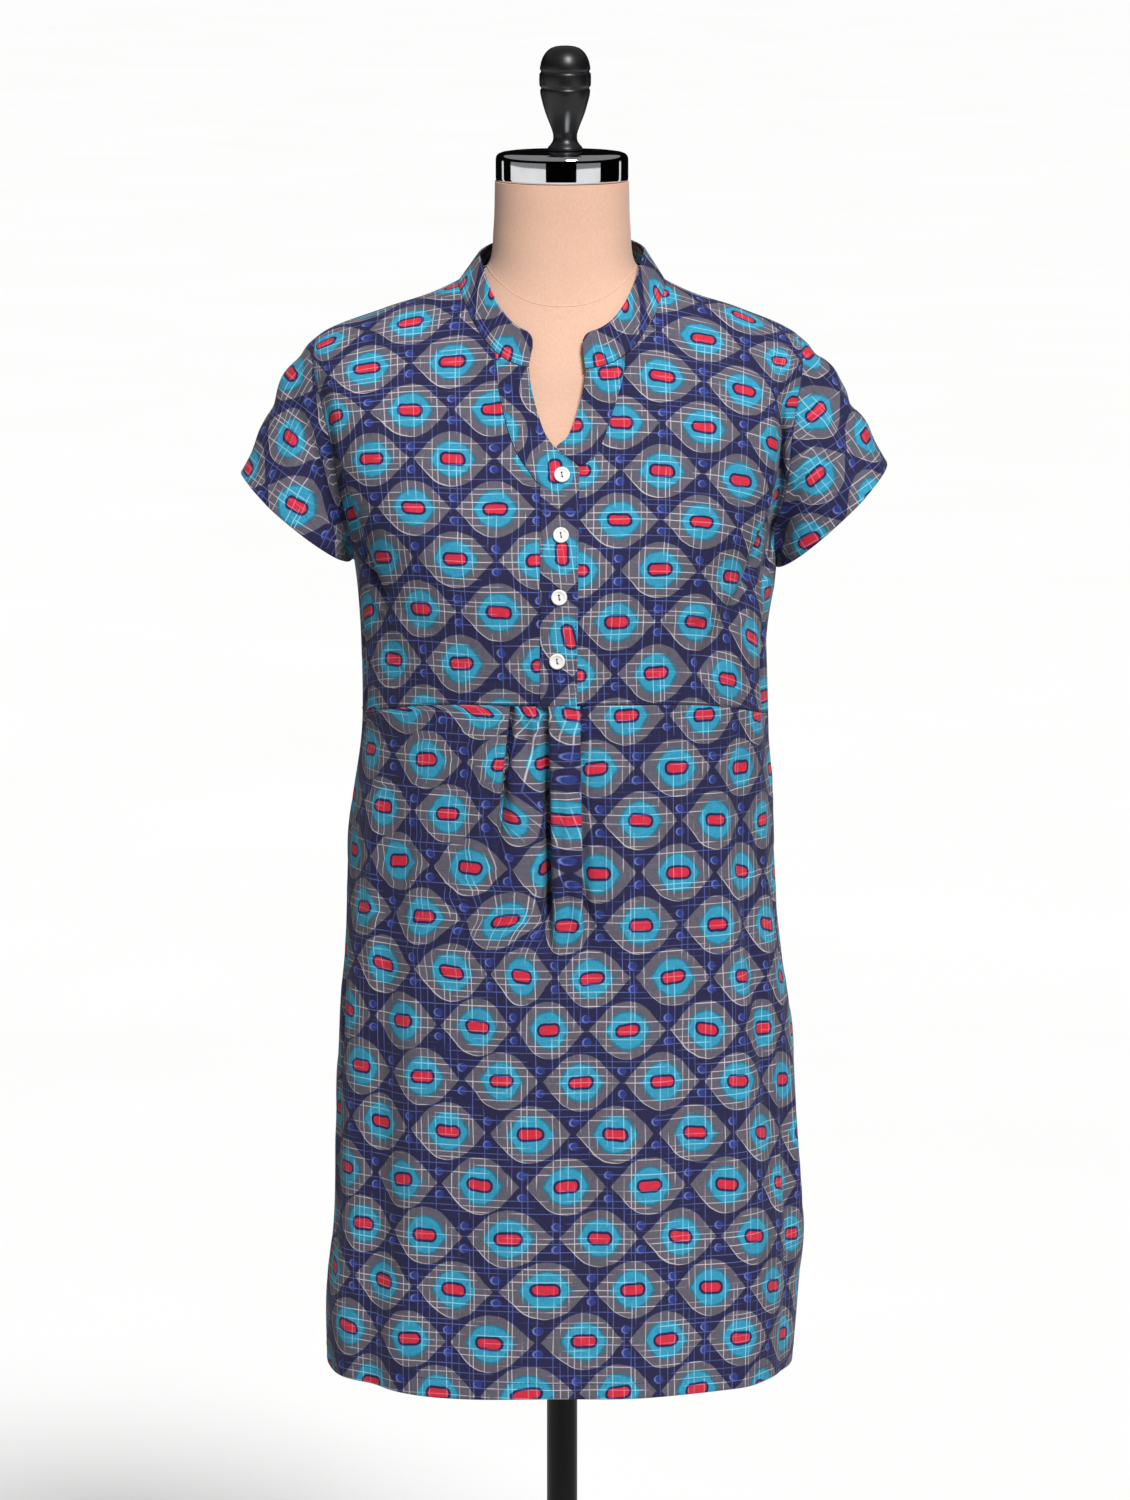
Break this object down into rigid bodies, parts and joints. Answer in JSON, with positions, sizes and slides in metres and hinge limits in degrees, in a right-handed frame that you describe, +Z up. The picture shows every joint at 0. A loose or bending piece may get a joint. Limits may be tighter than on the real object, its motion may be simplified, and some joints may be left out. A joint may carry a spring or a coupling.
{
  "type": "tunic top on a dress form with its stand",
  "caption": "Short-sleeved printed tunic with band collar, V notch, half placket and pleated lower front, worn on a limbless dress form with a metal neck cap, pole and round base.",
  "frame": {"origin": "middle of the base's underside, on the floor", "axes": "+Z up, -Y out of the tunic's front, +X to the right of someone who looks at the front"},
  "size_m": [0.5175, 0.34, 1.6076],
  "materials": {
    "printed_cotton": "slub plain weave, block printed, matte",
    "button_resin": "polished",
    "form_cover": "stretched fine knit over a rigid form, matte",
    "cap_chrome": "mirror",
    "knob_black": "satin black",
    "pole_black": "semi-gloss black",
    "base_black": "satin black"
  },
  "bodies": {
    "root": {"front_yoke_left": "printed_cotton", "front_yoke_right": "printed_cotton", "skirt_front": "printed_cotton", "back": "printed_cotton", "sleeve_left": "printed_cotton", "sleeve_right": "printed_cotton", "collar": "printed_cotton", "placket": "printed_cotton", "neck_strip_right": "printed_cotton", "button_1": "button_resin", "button_2": "button_resin", "button_3": "button_resin", "button_4": "button_resin", "dress_form": "form_cover", "neck_cap": "cap_chrome", "knob": "knob_black", "pole": "pole_black", "base": "base_black"}
  },
  "joints": []
}
